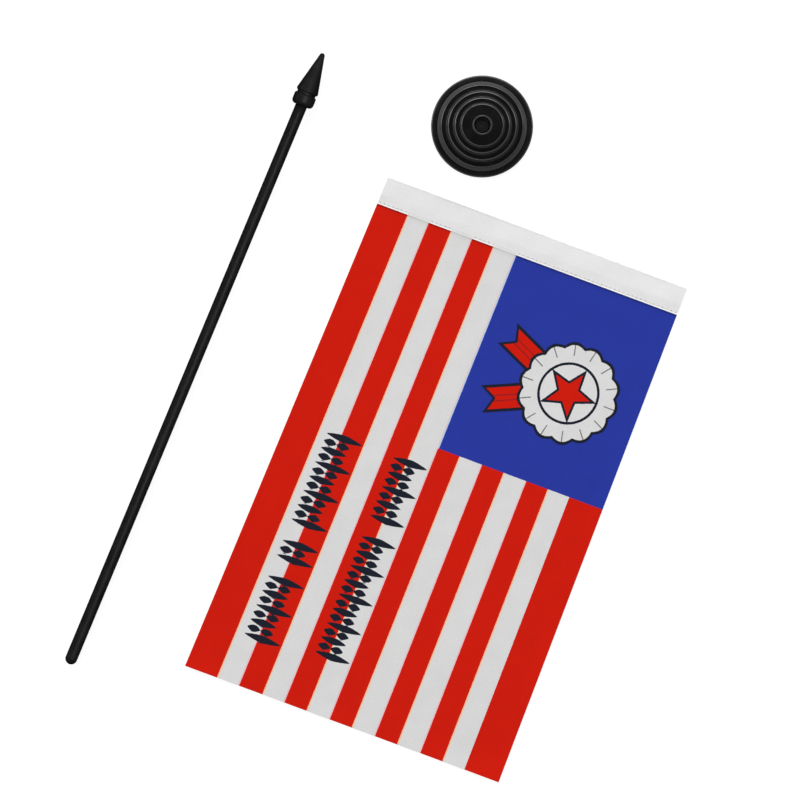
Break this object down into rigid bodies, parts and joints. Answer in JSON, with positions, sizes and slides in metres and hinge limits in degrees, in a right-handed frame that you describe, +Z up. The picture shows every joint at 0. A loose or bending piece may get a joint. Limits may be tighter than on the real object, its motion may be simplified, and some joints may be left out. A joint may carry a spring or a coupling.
{
  "type": "desk flag stand",
  "caption": "Desk flag stand taken apart and laid flat: round stepped base with a centre socket, plain pole with a push-on spear finial, and a striped cloth flag with a pole sleeve.",
  "frame": {"origin": "centre of the base's underside, on the table top that every piece lies on", "axes": "+Z up from the table, out of the base's socket. +Y points away from the viewer, past the base; the flag's free end and the pole's foot are towards -Y. +X points to the right; the pole is on the -X side."},
  "size_m": [0.2811, 0.3297, 0.0185],
  "materials": {
    "base_plastic": "satin black moulded plastic with fine turning rings on the crown",
    "pole_plastic": "satin black moulded plastic, faintly mottled",
    "finial_plastic": "satin black moulded plastic",
    "sleeve_cloth": "plain white woven polyester, folded and sewn",
    "printed_cloth": "woven polyester printed with red and white stripes, a blue canton, a plain emblem and two rows of plain ornaments",
    "sewing_thread": "white polyester sewing thread"
  },
  "bodies": {
    "base": {"stand_base": "base_plastic"},
    "pole": {"pole_rod": "pole_plastic"},
    "finial": {"spear_finial": "finial_plastic"},
    "sleeve": {"flag_sleeve": "sleeve_cloth", "seam_thread": "sewing_thread"},
    "field": {"flag_field": "printed_cloth"}
  },
  "joints": [
    {"name": "pole_lift", "type": "slide", "parent": "base", "child": "pole", "axis": [0, 0, 1], "range_m": [0, 0.05]},
    {"name": "finial_pull", "type": "slide", "parent": "pole", "child": "finial", "axis": [0.3844, 0.9231, 0.0087], "range_m": [0, 0.015]},
    {"name": "flag_lift", "type": "slide", "parent": "base", "child": "sleeve", "axis": [0, 0, 1], "range_m": [0, 0.05]},
    {"name": "flag_swing", "type": "hinge", "parent": "sleeve", "child": "field", "pos_m": [-0.04698, -0.0351, 0.0008], "axis": [-0.9373, 0.3486, 0], "range_deg": [0, 150]}
  ]
}
